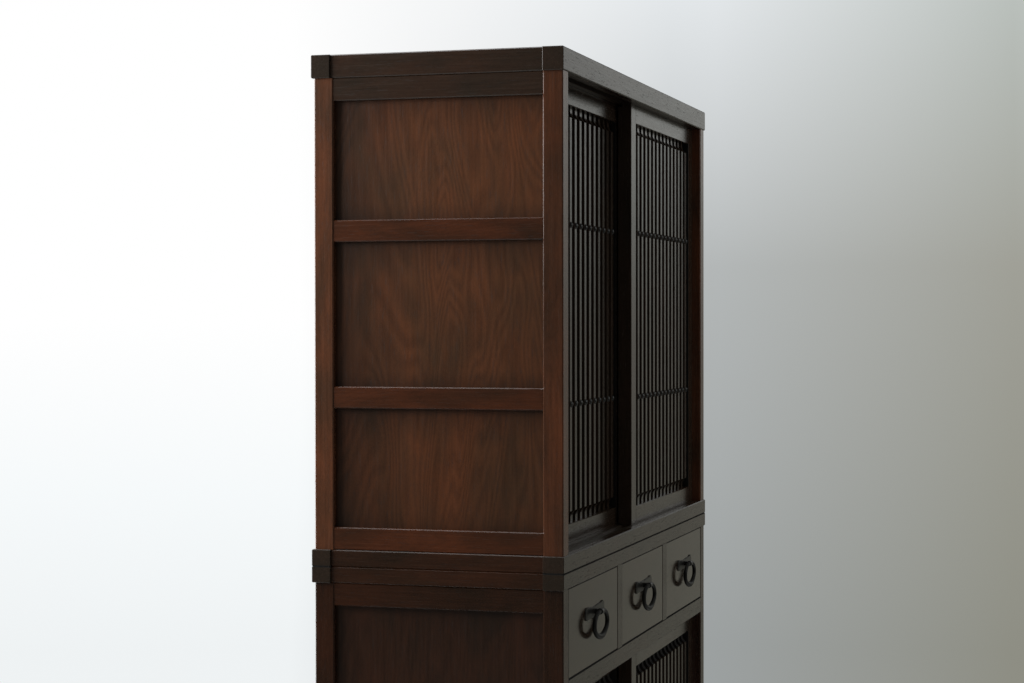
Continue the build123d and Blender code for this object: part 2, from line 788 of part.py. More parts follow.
def make_plate(side_name, x):
    """Winged plate with a knuckle for the bail, and a shank clinched over a rove inside the drawer."""
    axis_y = drawer_front_y - bail_standoff
    end = (plate_half_width, 1.0)
    foot = (wing_tip[0] - 6.0, -plate_foot)
    with BuildPart() as plate:
        with BuildSketch(Plane(origin=(x, drawer_front_y, pivot_z), x_dir=(1, 0, 0), z_dir=(0, -1, 0))):
            with BuildLine():
                dip = (wing_tip[0] / 2, plate_dip + 1.2)
                Spline((0, plate_dip), dip, wing_tip, tangents=((1, 0), (1, 0.35)))
                ThreePointArc(wing_tip, end, foot)
                Line(foot, (0, -plate_foot))
                mirror(about=Plane.YZ)
            make_face()
        extrude(amount=plate_thickness)
        with BuildSketch(Plane.YZ.offset(x - knuckle_width / 2)):
            with Locations((axis_y, pivot_z)):
                Circle(knuckle_radius)
            with Locations(((axis_y + drawer_front_y - plate_thickness / 2) / 2, pivot_z)):
                Rectangle(drawer_front_y - plate_thickness / 2 - axis_y, 1.5 * knuckle_radius)
        extrude(amount=knuckle_width)
        with BuildSketch(Plane.YZ.offset(x - knuckle_width / 2)):
            with Locations((axis_y, pivot_z)):
                Circle(bail_rod / 2 + bail_bore_clearance)
        extrude(amount=knuckle_width, mode=Mode.SUBTRACT)
        shank_end = drawer_front_y + drawer_front_thickness + rove_thickness
        with BuildSketch(Plane(origin=(x, shank_end, pivot_z), x_dir=(1, 0, 0), z_dir=(0, -1, 0))):
            Circle(shank_diameter / 2)
        extrude(amount=shank_end - drawer_front_y + plate_thickness / 2)
        with BuildSketch(Plane(origin=(x, shank_end, pivot_z), x_dir=(1, 0, 0), z_dir=(0, -1, 0))):
            Circle(rove_diameter / 2)
        extrude(amount=rove_thickness - joint_gap)
    save(plate.part, f"{side_name}_pull_plate")


def tangent_radius(across, down, small):
    """Radius of the arc that leaves a level line and runs into a circle of radius small.

    The circle's middle lies across and down from the place where the arc leaves the line.
    """
    return (across**2 + down**2 - small**2) / (2 * (down - small))


def make_bail(side_name, x):
    """Closed loop of round rod along tangent arcs: bar, shoulder, side, and a foot that swells to a grip."""
    axis_y = drawer_front_y - bail_standoff
    bar_half = bail_bar / 2
    to_side = bail_half_width - bail_side_radius
    shoulder_radius = tangent_radius(to_side - bar_half, bail_side_drop, bail_side_radius)
    foot_radius = tangent_radius(to_side, bail_drop - bail_side_drop, bail_side_radius)
    shoulder_turn = asin((to_side - bar_half) / (shoulder_radius - bail_side_radius))
    foot_turn = asin(to_side / (foot_radius - bail_side_radius))
    side_start = (
        bar_half + shoulder_radius * sin(shoulder_turn),
        -shoulder_radius * (1 - cos(shoulder_turn)),
    )
    side_tangent = (cos(shoulder_turn), -sin(shoulder_turn))
    side_turn = 180 - degrees(shoulder_turn) - degrees(foot_turn)
    face_plane = Plane(origin=(x, axis_y, pivot_z), x_dir=(1, 0, 0), z_dir=(0, -1, 0))
    with BuildPart() as bail:
        with BuildLine(face_plane) as upper_path:
            Line((0, 0), (bar_half, 0))
            JernArc((bar_half, 0), (1, 0), shoulder_radius, -degrees(shoulder_turn))
            JernArc(side_start, side_tangent, bail_side_radius, -side_turn)
        with BuildSketch(Plane(origin=(x, axis_y, pivot_z), x_dir=(0, 1, 0), z_dir=(1, 0, 0))) as rod:
            Circle(bail_rod / 2)
        sweep(sections=rod.sketch, path=upper_path.wires()[0])
        with BuildLine(face_plane) as foot_path:
            JernArc((0, -bail_drop), (1, 0), foot_radius, degrees(foot_turn))
        foot = foot_path.wires()[0]
        sections = []
        for place, diameter in ((0, bail_grip), (1, bail_rod)):
            with BuildSketch(Plane(origin=foot @ place, z_dir=foot % place)) as section:
                Circle(diameter / 2)
            sections.append(section.sketch)
        sweep(sections=sections, path=foot, multisection=True)
        mirror(about=Plane.YZ.offset(x))
    save(bail.part, f"{side_name}_pull_bail")


# Everything

os.makedirs("parts", exist_ok=True)

for chest in (lower, upper):
    side_planes = (left_wall, right_wall)
    make_posts(chest)
    make_rails(chest, side_planes, f"{chest.name}_side_rails")
    make_rails(chest, (back_wall,), f"{chest.name}_back_rails")
    make_panels(chest, side_planes, f"{chest.name}_side_panels")
    make_panels(chest, (back_wall,), f"{chest.name}_back_panels")
    make_board(f"{chest.name}_floor_board", floor_faces(chest), floor_y)
    make_board(f"{chest.name}_top_board", roof_faces(chest), roof_y)
    sill_cut = (chest.sill - sill_thickness - joint_gap, chest.sill + 1)
    head_cut = (chest.head - 1, chest.head + head_thickness + joint_gap)
    make_rim(chest, chest.base, chest.sill, f"{chest.name}_base_rim", floor_faces(chest), floor_y, sill_cut)
    top_cut = head_cut if chest is upper else None
    make_rim(chest, chest.head, chest.top, f"{chest.name}_top_rim", roof_faces(chest), roof_y, top_cut)
    sill = (chest.sill - sill_thickness, chest.sill)
    make_track(f"{chest.name}_sill_track", sill, (chest.sill - sill_groove, chest.sill), floor_faces(chest))

doors = []
door_rows = [(lower, drawer_rail_low, lower_tie_spread), (upper, upper.head, upper_tie_spread)]
for chest, head, spread in door_rows:
    make_track(f"{chest.name}_head_track", (head, head + head_thickness), (head, head + head_groove), None)
    jamb_top = head if chest is upper else drawer_rail_top - deck_thickness - bearer_height
    make_jambs(f"{chest.name}_jambs", chest.sill, jamb_top)
    middle = (chest.sill + door_bottom_rail + head - door_top_rail) / 2
    tie_zs = (middle - spread / 2, middle + spread / 2)
    doors.append(Door(f"{chest.name}_right_door", door_x, door_y(0), chest.sill, head, tie_zs))
    doors.append(Door(f"{chest.name}_left_door", -door_x, door_y(1), chest.sill, head, tie_zs))

make_shelves("lower_shelf", [lower.rails[1][1]])
make_bearers("lower_shelf_bearers", [lower.rails[1][1]])
make_shelves("upper_shelves", [upper.rails[1][1], upper.rails[2][1]])
make_bearers("upper_shelf_bearers", [upper.rails[1][1], upper.rails[2][1]])

for door in doors:
    make_door_frame(door)
    make_lattice(door)
    make_backing(door)

make_drawer_rail()
make_dividers()
with BuildPart() as deck_board:
    deck(0, Mode.ADD)
save(deck_board.part, "drawer_deck")
make_deck_bearers()
make_guides()

for side_name, x in zip(("left", "middle", "right"), drawer_xs):
    make_drawer(side_name, x)
    make_plate(side_name, x)
    make_bail(side_name, x)
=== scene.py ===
import bpy
import numpy as np
from mathutils import Matrix, Vector


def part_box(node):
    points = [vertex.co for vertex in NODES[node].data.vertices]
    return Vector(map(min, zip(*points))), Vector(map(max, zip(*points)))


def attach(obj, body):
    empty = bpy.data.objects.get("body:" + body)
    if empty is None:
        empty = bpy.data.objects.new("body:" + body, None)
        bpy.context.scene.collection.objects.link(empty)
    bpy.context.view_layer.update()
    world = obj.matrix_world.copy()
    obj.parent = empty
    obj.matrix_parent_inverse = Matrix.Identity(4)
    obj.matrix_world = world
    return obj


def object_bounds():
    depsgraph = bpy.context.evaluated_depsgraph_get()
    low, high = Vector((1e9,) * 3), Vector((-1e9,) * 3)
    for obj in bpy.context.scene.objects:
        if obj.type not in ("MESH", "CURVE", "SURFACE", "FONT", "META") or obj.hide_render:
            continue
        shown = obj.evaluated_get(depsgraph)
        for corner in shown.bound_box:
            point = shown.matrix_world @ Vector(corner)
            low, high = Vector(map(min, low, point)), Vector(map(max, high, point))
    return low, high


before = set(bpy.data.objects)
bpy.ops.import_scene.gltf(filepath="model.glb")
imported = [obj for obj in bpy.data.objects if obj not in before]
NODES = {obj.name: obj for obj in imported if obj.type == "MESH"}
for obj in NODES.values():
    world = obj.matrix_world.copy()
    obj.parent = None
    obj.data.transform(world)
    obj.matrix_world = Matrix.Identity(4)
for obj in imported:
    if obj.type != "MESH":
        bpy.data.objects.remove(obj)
cad_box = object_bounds()

DRAWERS = ("left", "middle", "right")
DOORS = ("lower_left_door", "lower_right_door", "upper_left_door", "upper_right_door")

BLACK, WHITE = (0, 0, 0), (1, 1, 1)


# Node graphs


def feed(tree, socket, value):
    """Gives a socket a number or colour, or links another node's output to it."""
    if isinstance(value, bpy.types.NodeSocket):
        tree.links.new(value, socket)
    else:
        socket.default_value = value


def new_material(name):
    """A named material with an empty node graph, its Principled shader and its output."""
    material = bpy.data.materials.new(name)
    material.use_nodes = True
    tree = material.node_tree
    tree.nodes.clear()
    output = tree.nodes.new("ShaderNodeOutputMaterial")
    shader = tree.nodes.new("ShaderNodeBsdfPrincipled")
    tree.links.new(shader.outputs["BSDF"], output.inputs["Surface"])
    return material, tree, shader


def math_node(tree, operation, *operands):
    """A Math node. Each operand is a socket or a number."""
    node = tree.nodes.new("ShaderNodeMath")
    node.operation = operation
    for socket, value in zip(node.inputs, operands):
        feed(tree, socket, value)
    return node.outputs[0]


def unit(tree, low, high, value):
    """Where a value stands between two others, kept from 0 to 1."""
    node = tree.nodes.new("ShaderNodeMapRange")
    node.inputs["From Min"].default_value = low
    node.inputs["From Max"].default_value = high
    tree.links.new(value, node.inputs["Value"])
    return node.outputs[0]


def mix_colors(tree, factor, first, second, blend="MIX"):
    """The second colour laid over the first by a factor. Each colour is a socket or (r, g, b)."""
    node = tree.nodes.new("ShaderNodeMix")
    node.data_type = "RGBA"
    node.blend_type = blend
    feed(tree, node.inputs[0], factor)
    for socket, colour in ((node.inputs[6], first), (node.inputs[7], second)):
        feed(tree, socket, (*colour, 1) if isinstance(colour, tuple) else colour)
    return node.outputs[2]


def combine(tree, x, y, z):
    """A vector of three values, each a socket or a number."""
    node = tree.nodes.new("ShaderNodeCombineXYZ")
    for socket, value in zip(node.inputs, (x, y, z)):
        feed(tree, socket, value)
    return node.outputs[0]


def ramp(tree, factor, stops):
    """A colour ramp with stops of (position, (r, g, b))."""
    node = tree.nodes.new("ShaderNodeValToRGB")
    elements = node.color_ramp.elements
    while len(elements) < len(stops):
        elements.new(0.5)
    for element, (position, colour) in zip(elements, stops):
        element.position = position
        element.color = (*colour, 1)
    tree.links.new(factor, node.inputs[0])
    return node.outputs[0]


def noise(tree, vector, scale, detail, rough, distortion=0.0):
    """Smooth noise from 0 to 1, with about as many marks to the metre as its scale."""
    node = tree.nodes.new("ShaderNodeTexNoise")
    node.inputs["Scale"].default_value = scale
    node.inputs["Detail"].default_value = detail
    node.inputs["Roughness"].default_value = rough
    node.inputs["Distortion"].default_value = distortion
    tree.links.new(vector, node.inputs["Vector"])
    return node.outputs["Fac"]


def bumps(tree, shader, height, strength, distance):
    """Raises the surface by a height. distance is the rise in metres of a height of one."""
    bump = tree.nodes.new("ShaderNodeBump")
    bump.inputs["Strength"].default_value = strength
    bump.inputs["Distance"].default_value = distance
    tree.links.new(height, bump.inputs["Height"])
    tree.links.new(bump.outputs[0], shader.inputs["Normal"])


def object_axes(tree):
    """The piece's own coordinates, by the name of their axis."""
    coordinates = tree.nodes.new("ShaderNodeTexCoord")
    split = tree.nodes.new("ShaderNodeSeparateXYZ")
    tree.links.new(coordinates.outputs["Object"], split.inputs[0])
    return dict(zip("XYZ", split.outputs))


# Wood

WOOD_IOR = 1.42
RING_TURNS = 190.0  # radians of rings over the range of the noise that they follow
RING_DEPTH, PORE_DEPTH, FLECK_DEPTH = 0.08, 0.22, 0.42
STREAK_DULLING, PORE_DULLING = 0.16, 0.12
PORE_SINK = 0.6  # against a height of one between the deepest and the highest streak
# Dull dark wax in the joints, and painted shade in the lower lattice's coves
WAX_AND_SHADE_COLOUR, WAX_AND_SHADE_COVER, WAX_AND_SHADE_ROUGHNESS = (0.003, 0.0025, 0.002), 0.92, 0.95
DULL_ROUGHNESS, TOP_BAND = 0.72, 0.0006


def turned_grain(tree, axes, grain, crossing):
    """Coordinates across, through and along the grain, and one where the crossing grain holds.

    grain is the axis of the grain. crossing is (axis, low, high, grain) of the stretch whose pieces
    have another grain: where the coordinate on that axis is between low and high, that grain holds.
    """
    x, y, z = axes.values()
    turned = {"X": (y, z, x), "Y": (x, z, y), "Z": (x, y, z)}
    if crossing is None:
        return turned[grain], 0.0
    axis, low, high, other = crossing
    above = math_node(tree, "GREATER_THAN", axes[axis], low)
    inside = math_node(tree, "MULTIPLY", above, math_node(tree, "LESS_THAN", axes[axis], high))
    mixed = []
    for plain, crossed in zip(turned[grain], turned[other]):
        difference = math_node(tree, "SUBTRACT", crossed, plain)
        mixed.append(math_node(tree, "MULTIPLY_ADD", difference, inside, plain))
    return mixed, inside


def wax_and_shade_lines(tree, axes, dark_lines):
    """One along every waxed joint and every band of painted shade, and nought elsewhere."""
    wax_and_shade = 0.0
    for axis, place, half_width in dark_lines:
        line = math_node(tree, "COMPARE", axes[axis], place, half_width)
        wax_and_shade = math_node(tree, "MAXIMUM", line, wax_and_shade)
    return wax_and_shade


def darken_by_painted_shade(tree, axes, shade_banks, shade):
    """Painted shade: darkens a shade by each bank's depth at its place, and evenly less out to its reach.
    """
    for axis, place, reach, depth in shade_banks:
        away = math_node(tree, "ABSOLUTE", math_node(tree, "SUBTRACT", axes[axis], place))
        clear = math_node(tree, "MULTIPLY_ADD", unit(tree, 0.0, reach, away), depth, 1.0 - depth)
        shade = math_node(tree, "MULTIPLY", shade, clear)
    return shade


def stained_wood(name, grain, browns, figure=0.5, crossing=None, crossed=None, seed=0.0, gloss=0.25,
                 fibre_depth=0.80, dark_lines=(), shade_banks=(), dull_top=None):
    """Hardwood stained almost black-red and oiled.

    The colour wanders between the deep and the warm one of its browns, in patches drawn out along
    the grain. Over it lie growth rings, fibre streaks, short open pores and flecks, and the fibres
    and pores carry on into the roughness and the bump. figure and fibre_depth are how strongly the
    rings and the streaks show, gloss is the roughness that the fibres and pores vary, and seed moves
    the figure sideways, so that no two finishes share theirs. crossed is the pair of browns of the
    pieces in the crossing stretch, where they were cut from other boards; the darker pair of the
    highest side rims and side rails is painted shade. Each of the dark_lines is (axis, place, half
    width): dull dark wax lies there in a joint or along an arris, and on the lower lattice painted
    shade lies there in the slats' coves, though neither on crossed pieces with browns of their own.
    Each of the shade_banks is (axis, place, reach, depth): painted shade, darkest at its place, next
    to a neighbour that would cast a shadow there, and where less light falls. dull_top is the height
    of an upper face that nobody polishes.
    """
    material, tree, shader = new_material(name)
    axes = object_axes(tree)
    (across, through, along), inside = turned_grain(tree, axes, grain, crossing)
    across = math_node(tree, "ADD", across, seed)

    def drawn_out(share):
        """Coordinates for marks drawn out along the grain, the longer the smaller the share."""
        return combine(tree, across, through, math_node(tree, "MULTIPLY", along, share))

    patches = noise(tree, drawn_out(0.40), scale=13.0, detail=4.0, rough=0.6, distortion=0.4)
    blush = ramp(tree, patches, [(0.30, BLACK), (0.70, WHITE)])
    wander = noise(tree, drawn_out(0.18), scale=7.5, detail=2.0, rough=0.45, distortion=0.6)
    rings = math_node(tree, "SINE", math_node(tree, "MULTIPLY", wander, RING_TURNS))
    streaks = noise(tree, drawn_out(0.03), scale=300.0, detail=5.0, rough=0.64)
    pits = noise(tree, drawn_out(0.09), scale=560.0, detail=2.0, rough=0.5)
    pores = ramp(tree, pits, [(0.60, BLACK), (0.70, WHITE)])
    flecks = noise(tree, drawn_out(0.5), scale=310.0, detail=2.0, rough=0.6)

    level = 1.0 - (fibre_depth + FLECK_DEPTH) / 2
    shade = math_node(tree, "MULTIPLY_ADD", rings, RING_DEPTH * figure, level)
    shade = math_node(tree, "MULTIPLY_ADD", streaks, fibre_depth, shade)
    shade = math_node(tree, "MULTIPLY_ADD", pores, -PORE_DEPTH, shade)
    shade = math_node(tree, "MULTIPLY_ADD", flecks, FLECK_DEPTH, shade)
    shade = darken_by_painted_shade(tree, axes, shade_banks, shade)

    colour = mix_colors(tree, blush, *browns)
    if crossed:
        colour = mix_colors(tree, inside, colour, mix_colors(tree, blush, *crossed))
    colour = mix_colors(tree, 1.0, colour, combine(tree, shade, shade, shade), "MULTIPLY")
    rough = math_node(tree, "MULTIPLY_ADD", streaks, STREAK_DULLING, gloss - STREAK_DULLING / 2)
    rough = math_node(tree, "MULTIPLY_ADD", pores, PORE_DULLING, rough)
    if dark_lines:
        wax_and_shade = wax_and_shade_lines(tree, axes, dark_lines)
        if crossed:
            wax_and_shade = math_node(tree, "MULTIPLY", wax_and_shade, math_node(tree, "SUBTRACT", 1.0, inside))
        colour = mix_colors(tree, math_node(tree, "MULTIPLY", wax_and_shade, WAX_AND_SHADE_COVER), colour, WAX_AND_SHADE_COLOUR)
        rough = math_node(tree, "MAXIMUM", rough, math_node(tree, "MULTIPLY", wax_and_shade, WAX_AND_SHADE_ROUGHNESS))
    if dull_top:
        dust = math_node(tree, "COMPARE", axes["Z"], dull_top, TOP_BAND)
        rough = math_node(tree, "MAXIMUM", rough, math_node(tree, "MULTIPLY", dust, DULL_ROUGHNESS))

    tree.links.new(colour, shader.inputs["Base Color"])
    tree.links.new(rough, shader.inputs["Roughness"])
    shader.inputs["IOR"].default_value = WOOD_IOR
    relief = math_node(tree, "MULTIPLY_ADD", pores, -PORE_SINK, streaks)
    bumps(tree, shader, relief, strength=0.10, distance=0.0002)
    return material


# Iron

IRON_SHADES = [(0.3, (0.0055, 0.0054, 0.0048)), (0.75, (0.013, 0.0125, 0.011))]
GRIT_DULLING, GRIT_HEIGHT = 0.24, 0.18


def black_iron(name, ior, gloss):
    """Forged iron burnt black in oil, faintly dented by the hammer and gritty."""
    material, tree, shader = new_material(name)
    coordinates = tree.nodes.new("ShaderNodeTexCoord").outputs["Object"]
    dents = noise(tree, coordinates, scale=190.0, detail=2.0, rough=0.5)
    grit = noise(tree, coordinates, scale=1500.0, detail=3.0, rough=0.6)
    patches = noise(tree, coordinates, scale=70.0, detail=3.0, rough=0.6)
    tree.links.new(ramp(tree, patches, IRON_SHADES), shader.inputs["Base Color"])
    rough = math_node(tree, "MULTIPLY_ADD", grit, GRIT_DULLING, gloss - GRIT_DULLING / 2)
    tree.links.new(rough, shader.inputs["Roughness"])
    shader.inputs["IOR"].default_value = ior
    relief = math_node(tree, "MULTIPLY_ADD", grit, GRIT_HEIGHT, dents)
    bumps(tree, shader, relief, strength=0.30, distance=0.0005)
    return material


# Browns: the deep and the warm colour that each stain wanders between

POST = (0.048, 0.022, 0.0110), (0.122, 0.038, 0.0145)
RAIL = (0.026, 0.0110, 0.0050), (0.070, 0.0190, 0.0062)
PANEL = (0.058, 0.0245, 0.0095), (0.104, 0.0315, 0.0095)
BACK = (0.042, 0.0180, 0.0078), (0.078, 0.0240, 0.0082)
# The lower chest's browns are darker copies: painted shade where less light falls low on the chest
SHADED_LOW = (0.014, 0.0066, 0.0030), (0.031, 0.0098, 0.0036)  # posts, rails and panels of the lower chest
SHADED_LOW_BACK = (0.024, 0.0108, 0.0048), (0.050, 0.0155, 0.0056)
SILL = (0.018, 0.0085, 0.0040), (0.038, 0.0125, 0.0050)  # side rims, except the highest ones
SHADED_TOP = (0.021, 0.0140, 0.0090), (0.037, 0.0165, 0.0090)  # the highest side rims and side rails, darker as painted shade at the top of the side
FRONT = (0.017, 0.0125, 0.0080), (0.028, 0.0160, 0.0100)
BOARD = (0.024, 0.0165, 0.0110), (0.036, 0.0225, 0.0145)  # behind the slats
INNER = (0.20, 0.12, 0.062), (0.33, 0.20, 0.105)  # oiled without stain

# Places on the frame, half widths of the wax lines, and the band of painted shade in the coves, in metres

FRONT_BEAM, REAR_BEAM = 0.0355, 0.033  # how deep the rims' beams are
TOP_RAIL_BAND = (1.66, 1.8)
PANEL_TOPS, PANEL_FEET = (1.6805, 1.4472, 1.1717), (1.4833, 1.2078, 0.9745)
PANEL_REAR, POST_FRONT, CHEST_FOOT = 0.185, -0.19, 0.92
STILE = 0.0373
COVE_BAND = 0.026  # from the lattice's top down past its coves
JOINT_WAX, SHOULDER_WAX = 0.0016, 0.0006
DRAWER_WAX = (0.0011, 0.0012, 0.0013, 0.0011)  # left, right, lower and upper edge

rim_low, rim_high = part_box("lower_base_rim")
side_rims = ("Y", rim_low[1] + FRONT_BEAM, rim_high[1] - REAR_BEAM, "Y")
top_rails = ("Z", *TOP_RAIL_BAND, "Y")
chest_joint = ("Z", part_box("upper_base_rim")[0][2], JOINT_WAX)
rail_arris = ("Z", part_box("drawer_rail")[1][2], JOINT_WAX)
# Painted shade, dull as well, in the coves of the lower lattice's slats under the top rails
lower_cove_shade = ("Z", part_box("lower_left_door_lattice")[1][2] - COVE_BAND / 2, COVE_BAND / 2)

# Painted shade on the side panels: the rear post's shadow at each panel's rear, shade under the rails and
# on them, and less light low on the chest
panel_painted_shade = [("Y", PANEL_REAR, 0.13, 0.50), ("Z", CHEST_FOOT, 0.62, 0.30)]
panel_painted_shade += [("Z", top, 0.06, 0.35) for top in PANEL_TOPS]
panel_painted_shade += [("Z", foot, 0.03, 0.18) for foot in PANEL_FEET]

# Finishes: each piece's grain runs along it

# The posts darker towards the front: painted shade where less light reaches
post_wood = stained_wood("post_wood", "Z", POST, shade_banks=[("Y", POST_FRONT, 0.2, 0.28)])
side_rail_wood = stained_wood("side_rail_wood", "Y", RAIL, 0.6, top_rails, SHADED_TOP, seed=3.1)
side_panel_wood = stained_wood("side_panel_wood", "Z", PANEL, 1.5, seed=1.3, gloss=0.32, fibre_depth=0.55,
                               shade_banks=panel_painted_shade)
back_rail_wood = stained_wood("back_rail_wood", "X", RAIL, 0.6, seed=12.2)
back_panel_wood = stained_wood("back_panel_wood", "Z", BACK, 1.0, seed=21.3, gloss=0.32)

# The lower chest's finishes, darkened by their painted-shade browns
low_post_wood = stained_wood("low_post_wood", "Z", SHADED_LOW, seed=4.4)
low_rail_wood = stained_wood("low_rail_wood", "Y", SHADED_LOW, 0.6, seed=7.9)
low_panel_wood = stained_wood("low_panel_wood", "Z", SHADED_LOW, 1.0, seed=9.5, gloss=0.32)
low_back_rail_wood = stained_wood("low_back_rail_wood", "X", SHADED_LOW, 0.6, seed=14.8)
low_back_panel_wood = stained_wood("low_back_panel_wood", "Z", SHADED_LOW_BACK, 1.0, seed=23.7, gloss=0.32)

rim_wood = stained_wood("rim_wood", "X", FRONT, 0.5, side_rims, SHADED_TOP, seed=8.2, dull_top=cad_box[1][2])
base_rim_wood = stained_wood("base_rim_wood", "X", FRONT, 0.5, side_rims, SILL, seed=8.9,
                             dark_lines=[chest_joint])
roof_wood = stained_wood("roof_wood", "X", FRONT, 0.6, seed=15.9, gloss=0.66)
cross_rail_wood = stained_wood("cross_rail_wood", "X", FRONT, seed=5.7, gloss=0.34)
drawer_rail_wood = stained_wood("drawer_rail_wood", "X", FRONT, seed=6.3, dark_lines=[rail_arris])
divider_wood = stained_wood("divider_wood", "Z", FRONT, seed=2.6)
lattice_wood = stained_wood("lattice_wood", "Z", FRONT, 0.3, seed=13.0, gloss=0.24, dark_lines=[lower_cove_shade])
door_board_wood = stained_wood("door_board_wood", "Z", BOARD, 1.0, seed=25.1, gloss=0.4)
inner_wood = stained_wood("inner_wood", "X", INNER, 0.6, seed=17.0, gloss=0.5)

plate_iron = black_iron("plate_iron", ior=1.40, gloss=0.34)
rod_iron = black_iron("rod_iron", ior=1.24, gloss=0.46)
nail_iron = black_iron("nail_iron", ior=1.45, gloss=0.30)


# Dressing the frame

# How a node's name ends, its finish in general, and its finish in the lower chest
FINISHES = (
    ("_posts", post_wood, low_post_wood),
    ("_side_rails", side_rail_wood, low_rail_wood),
    ("_side_panels", side_panel_wood, low_panel_wood),
    ("_back_rails", back_rail_wood, low_back_rail_wood),
    ("_back_panels", back_panel_wood, low_back_panel_wood),
    ("upper_top_rim", rim_wood, rim_wood),
    ("_rim", base_rim_wood, base_rim_wood),
    ("_top_board", roof_wood, roof_wood),
    ("_track", cross_rail_wood, cross_rail_wood),
    ("drawer_rail", drawer_rail_wood, drawer_rail_wood),
    ("_dividers", divider_wood, divider_wood),
    ("_jambs", divider_wood, divider_wood),
    ("_lattice", lattice_wood, lattice_wood),
    ("_door_panel", door_board_wood, door_board_wood),
    ("_plate", plate_iron, plate_iron),
    ("_bail", rod_iron, rod_iron),
    ("", inner_wood, inner_wood),
)


def dress(node_name, material):
    """Gives a node of the frame its finish in every one of its slots."""
    obj = NODES[node_name]
    if not obj.material_slots:
        obj.data.materials.append(material)
    for slot in obj.material_slots:
        slot.material = material


def dress_drawer_front(name):
    """Each drawer front is a board of its own, dark along its edges."""
    low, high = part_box(name)
    edges = (("X", low[0]), ("X", high[0]), ("Z", low[2]), ("Z", high[2]))
    dark_lines = [(*edge, half_width) for edge, half_width in zip(edges, DRAWER_WAX)]
    dress(name, stained_wood(name + "_wood", "X", FRONT, 0.7, seed=11 + low[0], gloss=0.12, dark_lines=dark_lines))


def dress_door_frame(door):
    """Each door's rails lie crosswise between its stiles, with a dark line where they meet."""
    low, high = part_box(door + "_frame")
    shoulders = (low[0] + STILE, high[0] - STILE)
    dark_lines = [("X", shoulder, SHOULDER_WAX) for shoulder in shoulders]
    material = stained_wood(door + "_wood", "Z", FRONT, 0.5, ("X", *shoulders, "X"),
                            seed=low[0] * 7 + low[2], gloss=0.20, dark_lines=dark_lines)
    dress(door + "_frame", material)


for name in NODES:
    finish, low_finish = next(pair for ending, *pair in FINISHES if name.endswith(ending))
    dress(name, low_finish if name.startswith("lower") else finish)
for drawer in DRAWERS:
    dress_drawer_front(drawer + "_drawer_front")
for door in DOORS:
    dress_door_frame(door)


# Nail heads


def add_mesh(name, points, faces, material):
    """An object at the origin from an array of points and a list of faces."""
    mesh = bpy.data.meshes.new(name)
    mesh.from_pydata(points.tolist(), [], faces)
    mesh.materials.append(material)
    obj = bpy.data.objects.new(name, mesh)
    bpy.context.collection.objects.link(obj)
    return obj


def ring_faces(rings, sides):
    """Quads between closed rings of points that are numbered ring by ring."""
    i, j = np.meshgrid(np.arange(rings - 1), np.arange(sides), indexing="ij")
    after = (j + 1) % sides
    quads = [i * sides + j, (i + 1) * sides + j, (i + 1) * sides + after, i * sides + after]
    return np.stack(quads, -1).reshape(-1, 4)


SLATS, SLAT_PITCH, SLAT_SETBACK = 14, 0.03306, 0.001
TIE_HEIGHTS = {"upper": (1.17315, 1.48035), "lower": (0.234, 0.494)}  # above the floor
NAIL_RADIUS, NAIL_RISE, NAIL_ROOT = 0.0054, 0.0036, 0.0012
NAIL_RINGS, NAIL_SIDES = 6, 18
CROWN = 0.12  # how far out the first ring of a head lies, as a share of the way


def nail_heads(door):
    """Domed nail heads where a door's slats cross its ties.

    Each head is half an ellipsoid. At a share s of the way out from its middle, a ring's radius is
    the rim's times the sine of s quarter turns, and its rise is the head's times the cosine. A last
    ring carries the rim back into the slat, and a point in the middle closes each end.
    """
    low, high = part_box(door + "_frame")
    face = low[1] + SLAT_SETBACK
    lean = np.linspace(CROWN, 1.0, NAIL_RINGS) * np.pi / 2
    out = np.append(NAIL_RADIUS * np.sin(lean), NAIL_RADIUS)[:, None]
    rise = np.append(NAIL_RISE * np.cos(lean), -NAIL_ROOT)[:, None]
    turn = np.arange(NAIL_SIDES) * 2 * np.pi / NAIL_SIDES
    rings = [out * np.cos(turn), face - rise + np.zeros(NAIL_SIDES), out * np.sin(turn)]
    skin = np.stack(rings, -1).reshape(-1, 3)
    head = np.concatenate([skin, [[0, face - NAIL_RISE, 0], [0, face + NAIL_ROOT, 0]]])

    j = np.arange(NAIL_SIDES)
    after = (j + 1) % NAIL_SIDES
    last = NAIL_RINGS * NAIL_SIDES
    crown = np.stack([np.full(NAIL_SIDES, len(skin)), j, after], -1)
    root = np.stack([np.full(NAIL_SIDES, len(skin) + 1), last + after, last + j], -1)

    xs = (low[0] + high[0]) / 2 + (np.arange(SLATS) - (SLATS - 1) / 2) * SLAT_PITCH
    places = np.array([(x, 0, z) for z in TIE_HEIGHTS[door.split("_")[0]] for x in xs])
    points = (places[:, None, :] + head[None]).reshape(-1, 3)
    shift = np.arange(len(places))[:, None, None] * len(head)
    quads = (ring_faces(NAIL_RINGS + 1, NAIL_SIDES)[None] + shift).reshape(-1, 4).tolist()
    caps = (np.concatenate([crown, root])[None] + shift).reshape(-1, 3).tolist()
    nails = add_mesh(door + "_nail_heads", points, quads + caps, nail_iron)
    nails.data.shade_smooth()
    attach(nails, door)


for door in DOORS:
    nail_heads(door)


# Floor

FLOOR_RADII, FLOOR_SIDES = (0.9, 1.7, 2.5), 96
FLOOR_FADE = (1.3, 2.4)
FLOOR_PAINT, FLOOR_ROUGHNESS = (0.60, 0.60, 0.58, 1), 0.8


